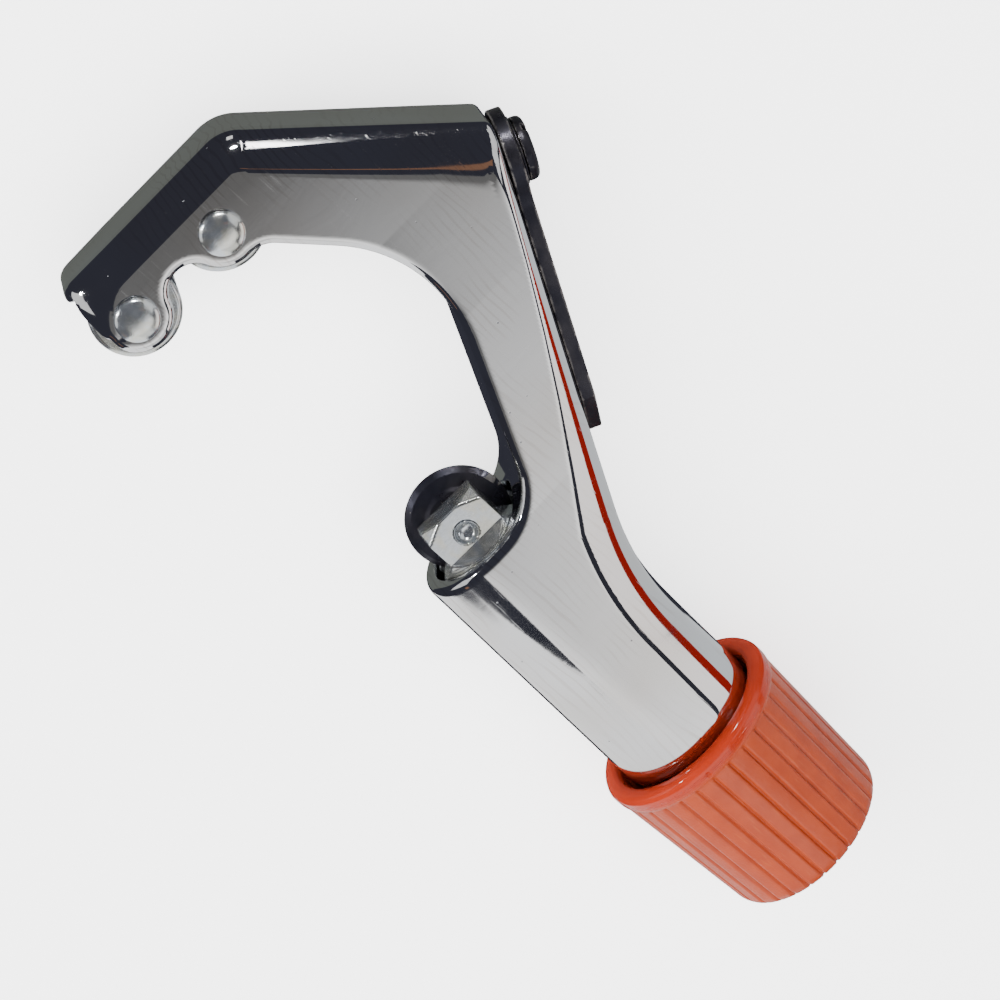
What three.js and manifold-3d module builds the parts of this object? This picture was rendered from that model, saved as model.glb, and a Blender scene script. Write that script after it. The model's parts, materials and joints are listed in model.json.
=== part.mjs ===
import * as THREE from 'three';
import { mergeVertices } from 'three/addons/utils/BufferGeometryUtils.js';
import Module from 'manifold-3d';

const wasm = await Module();
wasm.setup();

// Enclosed-feed tubing cutter lying on its side, in millimetres.
// X runs along the feed axis from the rollers to the knob, Y from the feed axis to the spine,
// Z through the thickness of the frame. All stations are measured from the retracted cutter
// wheel's centre; ORIGIN moves the whole tool onto the ground under its middle.
const ORIGIN = new THREE.Vector3(6.4, 17.82, -17.77);

// frame
const HALF_THICK = 9.5;
const FRONT_X = -75.4;
const BACK_SLOPE = Math.atan(0.5);
const BACK_Y = 27.55;
const DIAGONAL_Y = 95.9;
const CORNER_R = 8.45;
const TOP_CORNER_R = 1.6;
const BLEND_R = 50;
const BLEND_TOP_Y = 13.9;
const PLATE_END_X = 52;
const THROAT_CENTRE = new THREE.Vector2(-34.2, 1.23);
const THROAT_R = 24.3;
const INNER_SLOPE = THREE.MathUtils.degToRad(24.5);
const MOUTH_X = 4.2;
const MOUTH_FILLET_R = 12;
const BEAD = 0.8;
const SHOULDER_DEPTH = 5.4;
const CREASE = 55;
const RISE_Y = 24;
const RISE_SLOPE = Math.tan(THREE.MathUtils.degToRad(7.1));

// tube at the lower end of the frame
const TUBE_FRONT_R = 12.15;
const TUBE_KNOB_R = 13.55;
const TUBE_NECK_R = 13.2;
const TUBE_NECK_X = 56;
const TUBE_END_X = 72;
const BORE_R = 9.7;

// rollers
const ROLLER_X = -64.8;
const ROLLER_Y = 9.4;
const ROLLER_R = 7.5;
const ROLLER_HALF = 5.95;
const SLOT_HALF = 6.3;
const LOBE_R = 5.9;
const PIN_R = 2.45;
const PIN_HOLE_R = 2.8;
const HEAD_R = 3.65;

// slide, wheel and screw
const SLIDE_R = 9.4;
const SLIDE_FRONT_X = -4.5;
const SLIDE_END_X = 60;
const EAR_HALF_Y = 5.9;
const EAR_HALF_Z = 7.3;
const WHEEL_R = 9;
const WHEEL_SLOT_HALF = 2.1;
const WHEEL_PIN_R = 2.1;
const SCREW_R = 4.7;
const SCREW_PITCH = 2.5;
const KEY_X = 9;

// knob
const KNOB_MOUTH_X = 54.7;
const KNOB_END_X = 88.2;
const KNOB_LIP_R = 17.8;
const KNOB_RIB_START_R = 17.45;
const KNOB_END_R = 15.9;
const KNOB_MOUTH_R = 14.45;
const GROOVES = 30;
const GROOVE_DEPTH = 0.55;

// reamer
const REAMER_PIVOT_S = 6.6;
const REAMER_LENGTH = 49.5;
const REAMER_THICK = 2.4;
const REAMER_EYE_R = 7.5;

const rad = THREE.MathUtils.degToRad;
const v2 = (x, y) => new THREE.Vector2(x, y);

// ---------------------------------------------------------------- solids

// One closed solid from a three.js geometry, its faces turned outwards.
function solid(geometry) {
  const bare = geometry.clone();
  bare.deleteAttribute('normal');
  bare.deleteAttribute('uv');
  const merged = mergeVertices(bare, 1e-4);
  const points = merged.attributes.position;
  const kept = [];
  let volume = 0;
  const a = new THREE.Vector3();
  const b = new THREE.Vector3();
  const c = new THREE.Vector3();
  for (let i = 0; i < merged.index.count; i += 3) {
    const [p, q, r] = [0, 1, 2].map((k) => merged.index.getX(i + k));
    if (p === q || q === r || r === p) continue;
    kept.push(p, q, r);
    a.fromBufferAttribute(points, p);
    b.fromBufferAttribute(points, q);
    c.fromBufferAttribute(points, r);
    volume += a.dot(b.cross(c));
  }
  if (volume < 0) kept.reverse();
  return new wasm.Manifold(new wasm.Mesh({
    numProp: 3,
    vertProperties: new Float32Array(points.array),
    triVerts: new Uint32Array(kept),
  }));
}

function geometryOf(body) {
  const mesh = body.getMesh();
  const geometry = new THREE.BufferGeometry();
  geometry.setAttribute('position', new THREE.BufferAttribute(mesh.vertProperties, 3));
  geometry.setIndex(new THREE.BufferAttribute(mesh.triVerts, 1));
  geometry.computeVertexNormals();
  return geometry;
}

const cut = (body, ...tools) => tools.reduce((left, tool) => left.subtract(tool), body);

// A turned body: profile is a list of [station along the axis, radius].
function turned(profile, axis, segments = 32) {
  const points = profile.map(([s, r]) => v2(r, s));
  const geometry = new THREE.LatheGeometry(points, segments);
  if (axis === 'x') geometry.rotateZ(-Math.PI / 2);
  if (axis === 'z') geometry.rotateX(Math.PI / 2);
  return geometry;
}

const rod = (from, to, r, axis, segments) =>
  turned([[from, 0], [from, r], [to, r], [to, 0]], axis, segments);

const ring = (from, to, inner, outer, axis, segments) => turned(
  [[from, inner], [from, outer], [to, outer], [to, inner], [from, inner]], axis, segments);

function block(x0, x1, y0, y1, z0, z1) {
  const geometry = new THREE.BoxGeometry(x1 - x0, y1 - y0, z1 - z0);
  return geometry.translate((x0 + x1) / 2, (y0 + y1) / 2, (z0 + z1) / 2);
}

// Rings of equal length joined into one closed skin with flat ends.
function lofted(rings) {
  const count = rings[0].length;
  const positions = rings.flat().flatMap((p) => [p.x, p.y, p.z]);
  const index = [];
  for (let r = 0; r + 1 < rings.length; r += 1) {
    for (let i = 0; i < count; i += 1) {
      const a = r * count + i;
      const b = r * count + (i + 1) % count;
      index.push(a, b, b + count, a, b + count, a + count);
    }
  }
  return { positions, index, count };
}

function skin(positions, index) {
  const geometry = new THREE.BufferGeometry();
  geometry.setAttribute('position', new THREE.Float32BufferAttribute(positions, 3));
  geometry.setIndex(index);
  return geometry;
}

// ---------------------------------------------------------------- outline of the frame

const steps = (n, at) => Array.from({ length: n }, (_, i) => at(i / n));
const line = (a, b, n) => steps(n, (t) => new THREE.Vector2().lerpVectors(a, b, t));
const arc = (centre, r, from, to, n) => steps(n, (t) => {
  const angle = rad(from + (to - from) * t);
  return v2(centre.x + r * Math.cos(angle), centre.y + r * Math.sin(angle));
});

const backNormal = v2(Math.sin(BACK_SLOPE), Math.cos(BACK_SLOPE));
const backAlong = v2(Math.cos(BACK_SLOPE), -Math.sin(BACK_SLOPE));
const backAt = (x) => v2(x, BACK_Y - x * Math.tan(BACK_SLOPE));

// Top corner, where the diagonal wall meets the flat back.
const cornerX = (BACK_Y - DIAGONAL_Y) / (1 + Math.tan(BACK_SLOPE));
const topTurn = Math.PI / 4 + BACK_SLOPE;
const topTangent = TOP_CORNER_R * Math.tan(topTurn / 2);
const backTop = backAt(cornerX + topTangent * Math.cos(BACK_SLOPE));
const topCentre = backTop.clone().addScaledVector(backNormal, -TOP_CORNER_R);
const diagonalTop = v2(
  topCentre.x - TOP_CORNER_R * Math.SQRT1_2, topCentre.y + TOP_CORNER_R * Math.SQRT1_2);

// Front corner, where the diagonal meets the front wall.
const frontTangent = CORNER_R * Math.tan(Math.PI / 8);
const frontTop = v2(FRONT_X, FRONT_X + DIAGONAL_Y - frontTangent);
const frontCentre = v2(FRONT_X + CORNER_R, frontTop.y);
const diagonalEnd = v2(
  frontCentre.x - CORNER_R * Math.SQRT1_2, frontCentre.y + CORNER_R * Math.SQRT1_2);

// Blend from the flat back into the top of the tube.
const blendTurn = BLEND_R * Math.tan(BACK_SLOPE / 2);
const blendX = (BACK_Y - BLEND_TOP_Y) / Math.tan(BACK_SLOPE);
const blendCentre = v2(blendX + blendTurn, BLEND_TOP_Y + BLEND_R);
const backEnd = backAt(blendX - blendTurn * Math.cos(BACK_SLOPE));

// Lobes round the roller pins and the notch between them.
const upperLobe = v2(ROLLER_X, ROLLER_Y);
const lowerLobe = v2(ROLLER_X, -ROLLER_Y);
const notchR = (ROLLER_Y ** 2 + 0.16 - LOBE_R ** 2) / (2 * LOBE_R + 0.8);
const notch = v2(ROLLER_X - 0.4 + notchR, 0);
const notchAngle = THREE.MathUtils.radToDeg(Math.atan2(ROLLER_Y, notch.x - ROLLER_X));

// Throat: a short curve off the upper lobe, the big arc, the straight inner wall, the mouth.
const lobeEnd = v2(ROLLER_X + LOBE_R, ROLLER_Y + 0.5);
const throatStart = 130;
const throatEnd = 90 - 24.5;
const throatFrom = v2(
  THROAT_CENTRE.x + THROAT_R * Math.cos(rad(throatStart)),
  THROAT_CENTRE.y + THROAT_R * Math.sin(rad(throatStart)));
const throatTo = v2(
  THROAT_CENTRE.x + THROAT_R * Math.cos(rad(throatEnd)),
  THROAT_CENTRE.y + THROAT_R * Math.sin(rad(throatEnd)));
const mouthY = throatTo.y - (MOUTH_X - throatTo.x) * Math.tan(INNER_SLOPE);
const mouthTangent = MOUTH_FILLET_R * Math.tan((Math.PI / 2 - INNER_SLOPE) / 2);
const mouthStart = v2(
  MOUTH_X - mouthTangent * Math.cos(INNER_SLOPE), mouthY + mouthTangent * Math.sin(INNER_SLOPE));
const mouthEnd = v2(MOUTH_X, mouthY - mouthTangent);
const mouthCentre = v2(MOUTH_X - MOUTH_FILLET_R, mouthEnd.y);

// Width of the rounded shoulder along the flat back, growing from the top corner to the tube.
const backShoulder = (p) => 1.2 + p.distanceTo(backTop) ** 2 / 800;

function outerSide() {
  const edge = [];
  const face = [];
  const depth = [];
  const add = (outer, inner, from = SHOULDER_DEPTH, to = from) => {
    edge.push(...outer);
    face.push(...inner);
    depth.push(...outer.map((_, i) => from + (to - from) * (i / outer.length)));
  };
  const inset = (points, width) => points.map(
    (p) => p.clone().addScaledVector(backNormal, -width(p)));
  const backFaceEnd = inset([backEnd], backShoulder)[0];
  const topFaceA = inset([backTop], () => 1.2)[0].addScaledVector(backAlong, 5.2);
  const topFaceB = v2(-40.9, 43);
  const diagonalFace = v2(-68, 19.9);
  const frontFace = v2(-71.2, 13.6);
  add([v2(PLATE_END_X, 0)], [v2(PLATE_END_X - 0.4, 0)]);
  add(line(v2(PLATE_END_X, 13.2), v2(blendCentre.x, BLEND_TOP_Y), 2),
    line(v2(PLATE_END_X - 0.4, 3.9), v2(blendCentre.x, 7.4), 2), 7);
  add(arc(blendCentre, BLEND_R, -90, -90 - THREE.MathUtils.radToDeg(BACK_SLOPE), 8),
    line(v2(blendCentre.x, 7.4), backFaceEnd, 8), 7, 6.5);
  const back = line(backEnd, backTop, 16);
  const shift = (p) => backAlong.clone().multiplyScalar(5.2 * (1 - p.distanceTo(backTop) / 68));
  add(back, inset(back, backShoulder).map((p, i) => p.add(shift(back[i]))), 6.5, 2.4);
  add(arc(topCentre, TOP_CORNER_R, 90 - THREE.MathUtils.radToDeg(BACK_SLOPE), 135, 6),
    line(topFaceA, topFaceB, 6), 2.4, 4);
  add(line(diagonalTop, diagonalEnd, 6), line(topFaceB, diagonalFace, 6), 4, SHOULDER_DEPTH);
  add(arc(frontCentre, CORNER_R, 135, 180, 6), line(diagonalFace, frontFace, 6));
  add(line(frontTop, v2(FRONT_X, -4), 4), line(frontFace, v2(-71, -3), 4));
  add(line(v2(FRONT_X, -4), v2(FRONT_X, -12.2), 3), line(v2(-71, -3), v2(-70.6, -10), 3),
    SHOULDER_DEPTH, 8);
  add(arc(v2(FRONT_X + 3.4, -12.2), 3.4, 180, 260, 5), arc(v2(-67.2, -10.6), 3.4, 170, 260, 5), 8, 6);
  add(line(v2(-72.6, -15.55), v2(ROLLER_X, -ROLLER_Y - LOBE_R), 3),
    line(v2(-67.8, -14), v2(ROLLER_X, -ROLLER_Y - LOBE_R + BEAD), 3), 6, BEAD);
  return { edge, face, depth };
}

function innerSide() {
  const edge = [
    ...arc(lowerLobe, LOBE_R, -90, notchAngle, 11),
    ...arc(notch, notchR, 180 + notchAngle, 180 - notchAngle, 9),
    ...arc(upperLobe, LOBE_R, -notchAngle, 0, 5),
    ...arc(v2(lobeEnd.x + 5, lobeEnd.y), 5, 180, throatStart, 4),
    ...arc(THROAT_CENTRE, THROAT_R, throatStart, throatEnd, 14),
    ...line(throatTo, mouthStart, 5),
    ...arc(mouthCentre, MOUTH_FILLET_R, throatEnd, 0, 8),
    mouthEnd,
    v2(MOUTH_X, -2),
  ];
  const face = edge.map((p, i) => {
    const next = edge[Math.min(i + 1, edge.length - 1)];
    const last = edge[Math.max(i - 1, 0)];
    const along = next.clone().sub(last).normalize();
    return v2(p.x - along.y * BEAD, p.y + along.x * BEAD);
  });
  face[face.length - 1].y += 0.4;
  edge.push(v2(PLATE_END_X, -2));
  face.push(v2(PLATE_END_X - 0.4, -1.6));
  return { edge, face };
}

// The C-plate: its flat cheeks are the face loop, its walls the edge loop, and each station's
// shoulder is a part of an ellipse that meets the cheek at a crease and the wall smoothly.
function plate(half) {
  const outer = outerSide();
  const inner = innerSide();
  const edge = [...outer.edge, ...inner.edge];
  const face = [...outer.face, ...inner.face];
  const depth = [...outer.depth, ...inner.edge.map(() => BEAD)];
  const sweep = [CREASE, 38, 20, 0];
  const at = (angle, side) => edge.map((p, i) => {
    const inwards = (1 - Math.cos(rad(angle))) / (1 - Math.cos(rad(CREASE)));
    const q = new THREE.Vector2().lerpVectors(p, face[i], inwards);
    const drop = depth[i] * (1 - Math.sin(rad(angle)) / Math.sin(rad(CREASE)));
    return new THREE.Vector3(q.x, q.y, side * (half - drop));
  });
  const rings = [...sweep.map((a) => at(a, 1)), ...sweep.toReversed().map((a) => at(a, -1))];
  const { positions, index, count } = lofted(rings);
  const last = (rings.length - 1) * count;
  THREE.ShapeUtils.triangulateShape(face, []).forEach(([a, b, c]) => {
    index.push(a, c, b);
    index.push(last + a, last + b, last + c);
  });
  return solid(skin(positions, index));
}

// ---------------------------------------------------------------- frame

// A place on the flat back: along it from the top corner, across it, and out of it.
const backBasis = new THREE.Matrix4().makeBasis(
  new THREE.Vector3(backAlong.x, backAlong.y, 0),
  new THREE.Vector3(0, 0, -1),
  new THREE.Vector3(backNormal.x, backNormal.y, 0));
const pivot = backTop.clone().addScaledVector(backAlong, REAMER_PIVOT_S);
backBasis.setPosition(pivot.x, pivot.y, 0);
const onBack = (geometry) => geometry.applyMatrix4(backBasis);

// Below RISE_Y the cheeks climb from the plate's thickness to the crown of the tube.
function risingCheeks() {
  const crown = HALF_THICK + RISE_Y * RISE_SLOPE;
  const section = [[RISE_Y, HALF_THICK], [0, crown], [-20, crown]];
  const shape = new THREE.Shape([...section, ...section.toReversed().map(([y, z]) => [y, -z])]
    .map(([y, z]) => v2(y, z)));
  const prism = new THREE.ExtrudeGeometry(shape, { depth: 78, bevelEnabled: false });
  prism.applyMatrix4(new THREE.Matrix4().makeBasis(
    new THREE.Vector3(0, 1, 0), new THREE.Vector3(0, 0, 1), new THREE.Vector3(1, 0, 0)));
  return solid(prism.translate(-26, 0, 0)).intersect(plate(crown + 0.6));
}

function frameBody() {
  const tube = turned([
    [MOUTH_X, 0], [MOUTH_X, TUBE_FRONT_R - 1.2], [MOUTH_X + 0.35, TUBE_FRONT_R - 0.35],
    [MOUTH_X + 1.2, TUBE_FRONT_R], [TUBE_NECK_X - 0.8, TUBE_KNOB_R], [TUBE_NECK_X, TUBE_NECK_R],
    [TUBE_END_X, TUBE_NECK_R], [TUBE_END_X, 0],
  ], 'x', 48);
  const tools = [
    rod(-6, TUBE_END_X + 4, BORE_R, 'x', 36),
    block(ROLLER_X - ROLLER_R - 0.6, -50, -24, ROLLER_Y + ROLLER_R + 0.6, -SLOT_HALF, SLOT_HALF),
    rod(-14, 14, PIN_HOLE_R, 'z', 24).translate(ROLLER_X, ROLLER_Y, 0),
    rod(-14, 14, PIN_HOLE_R, 'z', 24).translate(ROLLER_X, -ROLLER_Y, 0),
    onBack(rod(-9.4, 3, 2.2, 'z', 20)),
    rod(-16, -9, 2.2, 'z', 20).translate(KEY_X, 0, 0),
  ];
  return cut(plate(HALF_THICK).add(risingCheeks()).add(solid(tube)), ...tools.map(solid));
}

// ---------------------------------------------------------------- rollers and their pins

function roller() {
  const h = ROLLER_HALF;
  return turned([
    [-h, 2.8], [-h, ROLLER_R - 0.6], [-h + 0.6, ROLLER_R], [-2.2, ROLLER_R], [-1.6, ROLLER_R - 0.8],
    [0.6, ROLLER_R - 0.8], [1.2, ROLLER_R], [h - 0.6, ROLLER_R], [h, ROLLER_R - 0.6], [h, 2.8],
    [-h, 2.8],
  ], 'z', 28);
}

function rollerPin() {
  const base = HALF_THICK + 0.3;
  return turned([
    [-11.7, 0], [-11.7, PIN_R - 0.4], [-11.3, PIN_R], [-10.95, PIN_R], [-10.95, 1.8],
    [-9.85, 1.8], [-9.85, PIN_R], [base, PIN_R], [base, HEAD_R], [base + 0.25, HEAD_R],
    [base + 0.85, HEAD_R * 0.87], [base + 1.35, HEAD_R * 0.55], [base + 1.62, 0],
  ], 'z', 20);
}

function openRing(inner, outer, thick, opening) {
  const shape = new THREE.Shape();
  const half = rad(opening / 2);
  shape.absarc(0, 0, outer, half, 2 * Math.PI - half, false);
  shape.absarc(0, 0, inner, 2 * Math.PI - half, half, true);
  return new THREE.ExtrudeGeometry(shape, { depth: thick, bevelEnabled: false, curveSegments: 12 });
}

// ---------------------------------------------------------------- slide and wheel

function slide() {
  const bar = turned([
    [SLIDE_FRONT_X, 0], [SLIDE_FRONT_X, 7.6], [SLIDE_FRONT_X + 1.9, SLIDE_R],
    [SLIDE_END_X - 0.8, SLIDE_R], [SLIDE_END_X, SLIDE_R - 0.8], [SLIDE_END_X, 0],
  ], 'x', 36);
  const flats = [-1, 1].flatMap((side) => [
    block(SLIDE_FRONT_X - 1, 5.4, side > 0 ? EAR_HALF_Y : -12, side > 0 ? 12 : -EAR_HALF_Y, -12, 12),
    block(SLIDE_FRONT_X - 1, 5.4, -12, 12, side > 0 ? EAR_HALF_Z : -12, side > 0 ? 12 : -EAR_HALF_Z),
  ]);
  const tools = [
    ...flats,
    block(SLIDE_FRONT_X - 1, WHEEL_R + 0.9, -12, 12, -WHEEL_SLOT_HALF, WHEEL_SLOT_HALF),
    rod(-12, 12, WHEEL_PIN_R + 0.3, 'z', 24),
    rod(8, 48, 6.2, 'x', 32).translate(5, 0, 0),
    rod(40, SLIDE_END_X + 2, SCREW_R + 0.35, 'x', 32),
    block(7, SLIDE_END_X - 1.5, -1.75, 1.75, -12, -7.4),
  ];
  return cut(solid(bar), ...tools.map(solid));
}

const wheelProfile = [
  [-1.75, 2.45], [-1.75, 5.2], [-1.3, 5.9], [-0.95, 8], [-0.12, WHEEL_R], [0.12, WHEEL_R],
  [0.95, 8], [1.3, 5.9], [1.75, 5.2], [1.75, 2.45], [-1.75, 2.45],
];

const wheelPinProfile = [
  [-9.3, 0], [-9.3, 1.8], [-9, WHEEL_PIN_R], [-8.8, WHEEL_PIN_R], [-8.8, 1.55], [-7.7, 1.55],
  [-7.7, WHEEL_PIN_R], [7.4, WHEEL_PIN_R], [7.6, 1.85], [7.6, 1.5], [6.8, 0.7], [6.7, 0],
];

// ---------------------------------------------------------------- feed screw and tube closure

function feedScrew() {
  const profile = [[15.4, 0], [15.4, 3.2]];
  for (let x = 16.2; x < 59; x += 2 * SCREW_PITCH) {
    profile.push([x + 0.4, SCREW_R], [x + 3.4, SCREW_R], [x + 4.2, SCREW_R - 1]);
  }
  profile.push([61.2, 3.6], [61.2, 7.6], [63, 7.6], [63, 3.9], [82.2, 3.9], [82.6, 3.5], [82.6, 0]);
  return solid(turned(profile, 'x', 16)).subtract(solid(rod(-6, 6, 1.75, 'z', 16)
    .translate(79, 0, 0)));
}

const bushProfile = [
  [64.9, 4.2], [64.9, 9.35], [72.3, 9.35], [72.3, 12.8], [73.4, 12.8], [73.4, 4.2], [64.9, 4.2],
];

// ---------------------------------------------------------------- knob

// Outside of the knob: a smooth rounded lip, then narrow straight grooves that run off the end.
function knobOutside() {
  const across = [0, 0.76, 0.81, 0.95];
  const count = GROOVES * across.length;
  const stations = [
    [KNOB_MOUTH_X, KNOB_LIP_R - 1.1, 0],
    [KNOB_MOUTH_X + 0.35, KNOB_LIP_R - 0.35, 0],
    [KNOB_MOUTH_X + 1.1, KNOB_LIP_R, 0],
    [KNOB_MOUTH_X + 3.2, KNOB_LIP_R - 0.1, 0],
    [KNOB_MOUTH_X + 4, KNOB_RIB_START_R, 1],
    [KNOB_END_X - 1.6, KNOB_END_R + 0.1, 1],
    [KNOB_END_X - 0.5, KNOB_END_R - 0.5, 1],
    [KNOB_END_X, KNOB_END_R - 1.6, 0],
  ];
  const rings = stations.map(([x, r, relief]) => Array.from({ length: count }, (_, i) => {
    const place = i % across.length;
    const groove = place >= 2 ? GROOVE_DEPTH * relief : 0;
    const angle = ((Math.floor(i / across.length) + across[place]) / GROOVES) * 2 * Math.PI;
    return new THREE.Vector3(x, (r - groove) * Math.cos(angle), (r - groove) * Math.sin(angle));
  }));
  const { positions, index } = lofted(rings);
  const ends = positions.length / 3;
  positions.push(KNOB_MOUTH_X, 0, 0, KNOB_END_X, 0, 0);
  const last = (rings.length - 1) * count;
  for (let i = 0; i < count; i += 1) {
    index.push(ends, (i + 1) % count, i);
    index.push(ends + 1, last + i, last + (i + 1) % count);
  }
  return solid(skin(positions, index));
}

function knobShell() {
  const cavity = turned([
    [KNOB_MOUTH_X - 1, 0], [KNOB_MOUTH_X - 1, KNOB_MOUTH_R + 1.6],
    [KNOB_MOUTH_X, KNOB_MOUTH_R + 1.2], [KNOB_MOUTH_X + 0.3, KNOB_MOUTH_R + 0.4],
    [KNOB_MOUTH_X + 0.95, KNOB_MOUTH_R], [KNOB_MOUTH_X + 4, KNOB_MOUTH_R - 0.4],
    [75.05, 13.7], [75.05, 0],
  ], 'x', 48);
  const pocket = rod(73, 90, 9.3, 'x', 6);
  const recess = rod(85.5, 90, 11.3, 'x', 40);
  return cut(knobOutside(), solid(cavity), solid(pocket), solid(recess));
}

function knobHub() {
  const hub = solid(rod(75.1, 83.3, 8.95, 'x', 6));
  return cut(hub, solid(rod(74, 90, 4.2, 'x', 24)),
    solid(rod(-12, 12, 1.75, 'z', 16).translate(79, 0, 0)));
}

// ---------------------------------------------------------------- reamer

// Blade outline in the plane of the back: an eye round the pivot and a tapered point.
function reamerBlade() {
  const shape = new THREE.Shape();
  const shoulder = 5.1;
  const start = Math.acos(shoulder / REAMER_EYE_R);
  shape.moveTo(REAMER_EYE_R * Math.sin(start), -shoulder);
  shape.lineTo(10, -4.9);
  shape.lineTo(REAMER_LENGTH - 7, -3.3);
  shape.lineTo(REAMER_LENGTH, 0.9);
  shape.lineTo(REAMER_LENGTH - 0.6, 2.6);
  shape.lineTo(10, 4.9);
  shape.lineTo(REAMER_EYE_R * Math.sin(start), shoulder);
  shape.absarc(0, 0, REAMER_EYE_R, Math.PI / 2 - start, 1.5 * Math.PI + start, false);
  const hole = new THREE.Path();
  hole.absarc(0, 0, 3.1, 0, 2 * Math.PI, true);
  shape.holes.push(hole);
  const blade = new THREE.ExtrudeGeometry(shape, {
    depth: REAMER_THICK, bevelEnabled: false, curveSegments: 18,
  });
  blade.translate(0, 0, 0.3);
  const edge = new THREE.BoxGeometry(46, 4, 4);
  edge.rotateX(rad(-38)).rotateZ(rad(2.6)).translate(33, -5.6, 3.6);
  return onBack(geometryOf(solid(blade).subtract(solid(edge))));
}

function reamerScrew() {
  const screw = turned([
    [-8.6, 0], [-8.6, 1.5], [-8.2, 1.85], [0.3, 1.85], [0.3, 2.75], [3.5, 2.75],
    [3.5, 5.3], [4.3, 5.3], [4.9, 4.9], [5.3, 4], [5.45, 0],
  ], 'z', 24);
  const slot = block(-0.6, 0.6, -7, 7, 4.6, 8).rotateZ(rad(35));
  return onBack(geometryOf(solid(screw).subtract(solid(slot))));
}

// ---------------------------------------------------------------- the tool

const colours = {
  chrome: { color: 0xd9dadd, roughness: 0.08, metalness: 1 },
  zinc: { color: 0xc3c6c6, roughness: 0.32, metalness: 1 },
  steel: { color: 0x9a9a98, roughness: 0.4, metalness: 1 },
  black: { color: 0x2c2c2e, roughness: 0.42, metalness: 0.8 },
  orange: { color: 0xce5c3a, roughness: 0.45, metalness: 0 },
};

const tool = new THREE.Group();
tool.position.copy(ORIGIN).negate();

function add(name, finish, shape) {
  const geometry = shape.isBufferGeometry ? geometryOf(solid(shape)) : geometryOf(shape);
  const mesh = new THREE.Mesh(geometry, new THREE.MeshStandardMaterial(colours[finish]));
  mesh.name = name;
  tool.add(mesh);
}

add('frame', 'chrome', frameBody());
[['lower', -ROLLER_Y], ['upper', ROLLER_Y]].forEach(([which, y]) => {
  add(`roller_${which}`, 'zinc', roller().translate(ROLLER_X, y, 0));
  add(`roller_pin_${which}`, 'zinc', rollerPin().translate(ROLLER_X, y, 0));
  add(`roller_clip_${which}`, 'black',
    openRing(2.1, 4.1, 0.5, 70).rotateZ(rad(200)).translate(ROLLER_X, y, -10.65));
});
add('feed_slide', 'zinc', slide());
add('cutter_wheel', 'black', turned(wheelProfile, 'z', 48));
add('wheel_pin', 'zinc', turned(wheelPinProfile, 'z', 20));
add('wheel_pin_clip', 'black', openRing(1.85, 3.2, 0.5, 80).rotateZ(rad(180)).translate(0, 0, -8.5));
add('slide_key', 'black', turned(
  [[-11.9, 0], [-11.9, 1.85], [-9.95, 1.85], [-9.95, 1.4], [-7.7, 1.4], [-7.7, 0]], 'z', 20)
  .translate(KEY_X, 0, 0));
add('feed_screw', 'steel', feedScrew());
add('thrust_washer', 'steel', ring(63.3, 64.6, 4.25, 8.9, 'x', 32));
add('tube_bushing', 'steel', turned(bushProfile, 'x', 32));
add('knob_washer', 'steel', ring(73.75, 74.75, 4.25, 8.6, 'x', 32));
add('knob_shell', 'orange', knobShell());
add('knob_hub', 'steel', knobHub());
add('knob_cross_pin', 'steel', rod(-7.2, 7.2, 1.4, 'z', 16).translate(79, 0, 0));
add('knob_end_cap', 'orange', turned(
  [[85.8, 0], [85.8, 11], [87.5, 11], [87.9, 10.6], [87.9, 0]], 'x', 40));
add('reamer_blade', 'black', reamerBlade());
add('reamer_washer', 'black', onBack(ring(2.95, 3.25, 3.1, 5.6, 'z', 28)));
add('reamer_pivot_screw', 'black', reamerScrew());

export default tool;
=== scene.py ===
import bpy
import bmesh
import json
import math
import numpy as np
from mathutils import Euler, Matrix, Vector


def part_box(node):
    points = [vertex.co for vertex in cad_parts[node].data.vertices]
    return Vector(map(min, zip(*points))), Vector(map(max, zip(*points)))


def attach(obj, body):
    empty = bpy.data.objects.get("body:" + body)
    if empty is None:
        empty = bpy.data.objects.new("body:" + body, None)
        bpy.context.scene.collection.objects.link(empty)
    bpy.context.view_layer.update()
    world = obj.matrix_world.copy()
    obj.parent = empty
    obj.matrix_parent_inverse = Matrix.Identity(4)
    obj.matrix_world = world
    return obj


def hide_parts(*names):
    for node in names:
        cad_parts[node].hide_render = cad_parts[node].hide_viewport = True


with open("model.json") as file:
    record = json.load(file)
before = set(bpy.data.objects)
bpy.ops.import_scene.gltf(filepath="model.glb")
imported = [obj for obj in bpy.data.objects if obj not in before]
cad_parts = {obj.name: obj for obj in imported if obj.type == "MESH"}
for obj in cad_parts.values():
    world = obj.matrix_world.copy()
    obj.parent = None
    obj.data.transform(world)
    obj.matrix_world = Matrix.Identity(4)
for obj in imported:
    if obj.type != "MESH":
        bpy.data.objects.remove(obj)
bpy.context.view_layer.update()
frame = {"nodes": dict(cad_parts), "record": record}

# Stations are in millimetres from the retracted cutter wheel's centre, as in the CAD:
# X along the feed axis, Y towards the spine, Z through the thickness.
wheel_lo, wheel_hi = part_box("cutter_wheel")
WHEEL = np.array((wheel_lo + wheel_hi) / 2)


def to_row(points):
    return np.asarray(points, dtype=float) / 1000.0 + WHEEL


# ------------------------------------------------------------------ camera

cam_data = bpy.data.cameras.new("camera")
cam_data.lens = 117.8
cam_data.sensor_width = 36
cam = bpy.data.objects.new("camera", cam_data)
cam.location = to_row((-199.15, 70.63, 493.5))
cam.rotation_euler = Euler([math.radians(a) for a in (-20.683, -10.886, 45.879)], "XYZ")
bpy.context.collection.objects.link(cam)
bpy.context.scene.camera = cam


# ------------------------------------------------------------------ implicit shapes

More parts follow.
